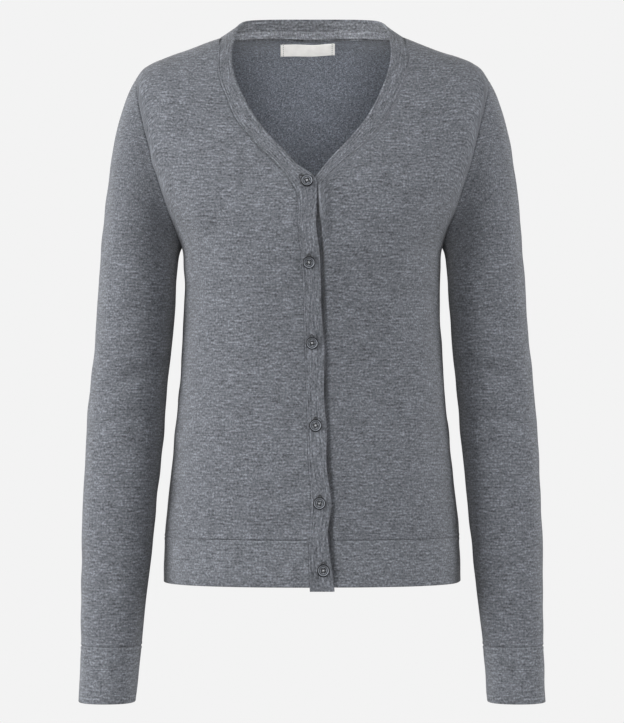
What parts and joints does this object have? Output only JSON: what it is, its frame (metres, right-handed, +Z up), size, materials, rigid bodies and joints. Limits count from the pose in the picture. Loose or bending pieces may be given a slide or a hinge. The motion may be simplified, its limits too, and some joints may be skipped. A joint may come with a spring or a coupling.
{
  "type": "button cardigan",
  "caption": "Fine-knit V-neck cardigan in its worn form, hollow, with long sleeves, a folded band round neck and fronts, doubled hem and cuffs, and six buttons.",
  "frame": {"origin": "middle of the neck, level with the high points of the shoulders, where the garment hangs on its wearer", "axes": "+Z up, the front of the garment faces -Y, +X to the wearer's left"},
  "size_m": [0.4758, 0.2346, 0.7047],
  "materials": {
    "melange_knit": "matte fine jersey",
    "melange_trim": "matte doubled jersey",
    "button_resin": "satin",
    "woven_label": "matte"
  },
  "bodies": {
    "root": {"front_right": "melange_knit", "front_left": "melange_knit", "back": "melange_knit", "sleeve_right": "melange_knit", "sleeve_left": "melange_knit", "cuff_right": "melange_trim", "cuff_left": "melange_trim", "hem_band_right": "melange_trim", "hem_band_left": "melange_trim", "hem_band_back": "melange_trim", "neckband": "melange_trim", "neck_tape": "melange_trim", "buttonhole_band": "melange_trim", "button_band": "melange_trim", "button_1": "button_resin", "button_2": "button_resin", "button_3": "button_resin", "button_4": "button_resin", "button_5": "button_resin", "button_6": "button_resin", "label": "woven_label"}
  },
  "joints": []
}
